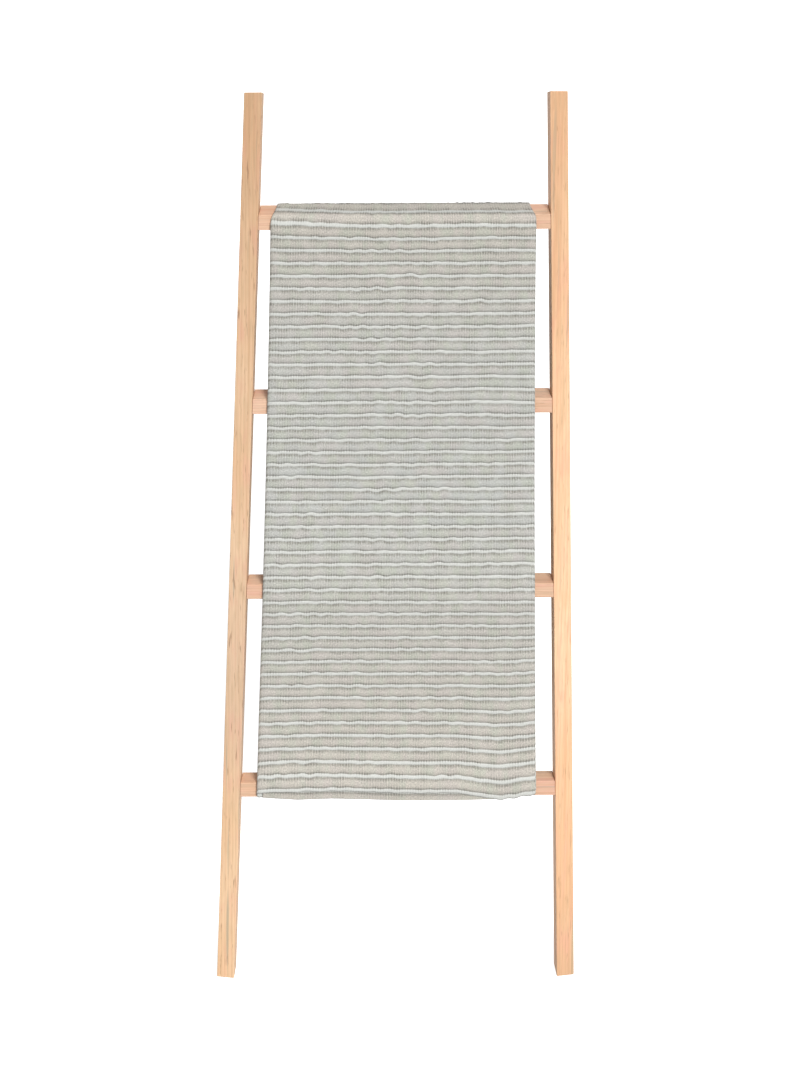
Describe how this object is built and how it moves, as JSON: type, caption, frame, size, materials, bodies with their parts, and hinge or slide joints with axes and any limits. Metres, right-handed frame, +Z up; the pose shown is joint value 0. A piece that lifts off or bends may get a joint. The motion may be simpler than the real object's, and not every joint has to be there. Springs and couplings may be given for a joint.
{
  "type": "quilt on a blanket ladder",
  "caption": "Leaning wooden blanket ladder with four square rungs and a striped channel-stitched quilt, folded lengthwise and draped over the top rung.",
  "frame": {"origin": "bottom centre of the bounding box, on the floor", "axes": "+Z up, +Y towards the wall, +X to the right along the rungs as seen from the front"},
  "size_m": [0.5036, 0.2382, 1.5216],
  "materials": {
    "pine": "sanded, unfinished",
    "plug": "sanded flush",
    "dowel": "plain",
    "steel": "zinc plated",
    "quilt": "crinkled cotton, channel stitched"
  },
  "bodies": {
    "ladder": {"rail_left": "pine", "rail_right": "pine", "rung_1": "pine", "rung_2": "pine", "rung_3": "pine", "rung_4": "pine", "screw_1_left": "steel", "screw_1_right": "steel", "screw_2_left": "steel", "screw_2_right": "steel", "screw_3_left": "steel", "screw_3_right": "steel", "screw_4_left": "steel", "screw_4_right": "steel", "plug_1_left": "plug", "plug_1_right": "plug", "plug_2_left": "plug", "plug_2_right": "plug", "plug_3_left": "plug", "plug_3_right": "plug", "plug_4_left": "plug", "plug_4_right": "plug", "dowel_1_left": "dowel", "dowel_1_right": "dowel", "dowel_2_left": "dowel", "dowel_2_right": "dowel", "dowel_3_left": "dowel", "dowel_3_right": "dowel", "dowel_4_left": "dowel", "dowel_4_right": "dowel"},
    "quilt": {"quilt": "quilt"}
  },
  "joints": [
    {"name": "quilt_lift", "type": "slide", "parent": "ladder", "child": "quilt", "axis": [0, 0, 1], "range_m": [0, 1.05]}
  ]
}
